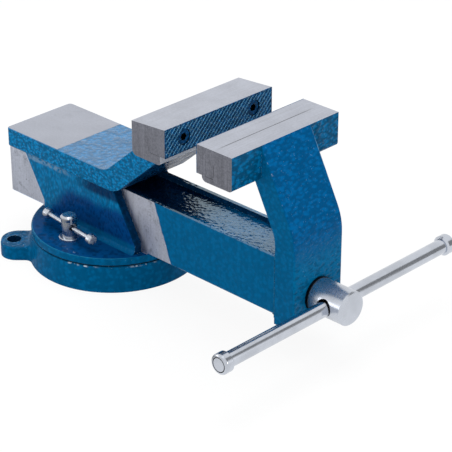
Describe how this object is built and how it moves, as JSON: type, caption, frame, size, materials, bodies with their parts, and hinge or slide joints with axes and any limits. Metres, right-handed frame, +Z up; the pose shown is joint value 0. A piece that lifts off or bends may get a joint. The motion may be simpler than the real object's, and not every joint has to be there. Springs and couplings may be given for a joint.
{
  "type": "bench vise",
  "caption": "Swivel-base bench vise with an anvil, screwed-on jaw plates, a sliding beam driven by a spindle with a tommy-bar handle, and clamp screws that lock the swivel.",
  "frame": {"origin": "on the swivel axis, in the plane of the base's underside on the bench", "axes": "+X along the slide towards the handle, +Y across the jaws to the picture's back right, +Z up off the bench"},
  "size_m": [0.3929, 0.2795, 0.182],
  "materials": {
    "blue_paint": "gloss blue hammer paint on cast steel",
    "jaw_steel": "ground steel, gripping face painted",
    "black_screw": "black oxide",
    "polished_steel": "polished plating",
    "zinc": "zinc plated steel",
    "cast_iron": "machined cast iron"
  },
  "bodies": {
    "base": {"swivel_base": "blue_paint"},
    "fixed_half": {"fixed_body": "blue_paint", "fixed_jaw_plate": "jaw_steel", "fixed_jaw_screws": "black_screw", "pivot_bolt": "zinc", "pivot_washer": "zinc", "spindle_nut": "cast_iron", "spindle_nut_screws": "black_screw", "clamp_nut_near": "zinc", "clamp_nut_far": "zinc", "clamp_washer_near": "zinc", "clamp_washer_far": "zinc"},
    "moving_half": {"moving_jaw": "blue_paint", "moving_jaw_plate": "jaw_steel", "moving_jaw_screws": "black_screw"},
    "spindle": {"spindle": "polished_steel", "spindle_washer": "zinc", "spindle_collar": "zinc", "collar_pin": "zinc"},
    "handle": {"handle_bar": "polished_steel", "handle_cap_left": "polished_steel", "handle_cap_right": "polished_steel"},
    "clamp_screw_near": {"clamp_screw_near": "zinc"},
    "clamp_bar_near": {"clamp_bar_near": "zinc", "clamp_bar_knobs_near": "zinc"},
    "clamp_screw_far": {"clamp_screw_far": "zinc"},
    "clamp_bar_far": {"clamp_bar_far": "zinc", "clamp_bar_knobs_far": "zinc"}
  },
  "joints": [
    {"name": "body_swivel", "type": "hinge", "parent": "base", "child": "fixed_half", "pos_m": [0, 0, 0.024], "axis": [0, 0, 1], "continuous": true},
    {"name": "jaw_slide", "type": "slide", "parent": "fixed_half", "child": "moving_half", "axis": [1, 0, 0], "range_m": [-0.035, 0.09]},
    {"name": "spindle_turn", "type": "hinge", "parent": "moving_half", "child": "spindle", "pos_m": [0.2444, 0, 0.052], "axis": [1, 0, 0], "range_deg": [-2521, 6481]},
    {"name": "handle_slide", "type": "slide", "parent": "spindle", "child": "handle", "axis": [0, 1, 0], "range_m": [-0.1202, 0.1097]},
    {"name": "clamp_turn_near", "type": "hinge", "parent": "fixed_half", "child": "clamp_screw_near", "pos_m": [-0.003, -0.05051, 0.034], "axis": [0, 0, 1], "range_deg": [-5.5, 18]},
    {"name": "clamp_bar_slide_near", "type": "slide", "parent": "clamp_screw_near", "child": "clamp_bar_near", "axis": [0.9938, -0.1115, 0], "range_m": [-0.023, 0.023]},
    {"name": "clamp_turn_far", "type": "hinge", "parent": "fixed_half", "child": "clamp_screw_far", "pos_m": [-0.003, 0.05051, 0.034], "axis": [0, 0, 1], "range_deg": [-18, 5.5]},
    {"name": "clamp_bar_slide_far", "type": "slide", "parent": "clamp_screw_far", "child": "clamp_bar_far", "axis": [0.9938, 0.1115, 0], "range_m": [-0.023, 0.023]}
  ],
  "couplings": [
    {"joint": "spindle_turn", "follows": "jaw_slide", "rad_per_m": 1256.6}
  ]
}
